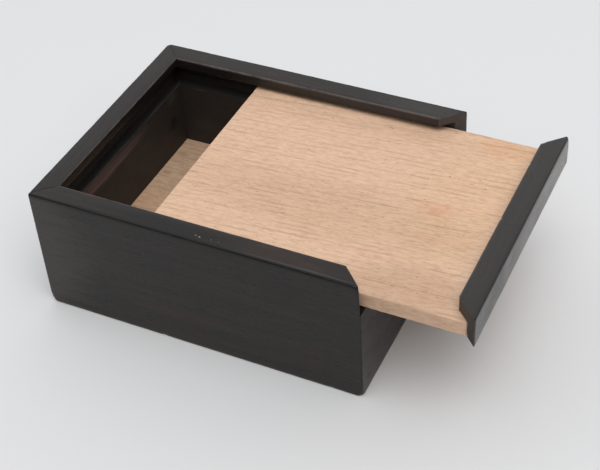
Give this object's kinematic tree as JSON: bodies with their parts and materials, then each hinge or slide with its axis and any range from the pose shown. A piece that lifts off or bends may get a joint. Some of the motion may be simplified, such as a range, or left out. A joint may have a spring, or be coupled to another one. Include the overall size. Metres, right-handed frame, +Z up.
{
  "type": "sliding lid box",
  "caption": "Small dark hardwood box with mitred corners and a pale wood lid that slides out of one end by its dark end strip.",
  "frame": {"origin": "centre of the rectangle that the box stands on, midway between the outer faces of its walls", "axes": "+Z up, +X out of the open end along the lid's slide, +Y across the box towards its right wall"},
  "size_m": [0.1656, 0.1016, 0.0523],
  "materials": {
    "dark_hardwood": "fine-pored near-black hardwood, oiled, satin",
    "pale_wood": "plain pale pinkish-tan wood, fine straight grain, matt"
  },
  "bodies": {
    "box": {"left_wall": "dark_hardwood", "right_wall": "dark_hardwood", "back_wall": "dark_hardwood", "front_wall": "dark_hardwood", "bottom_panel": "pale_wood"},
    "lid": {"lid_panel": "pale_wood", "lid_strip": "dark_hardwood"}
  },
  "joints": [
    {"name": "lid_slide", "type": "slide", "parent": "box", "child": "lid", "axis": [1, 0, 0], "range_m": [-0.0386, 0.0865]}
  ]
}
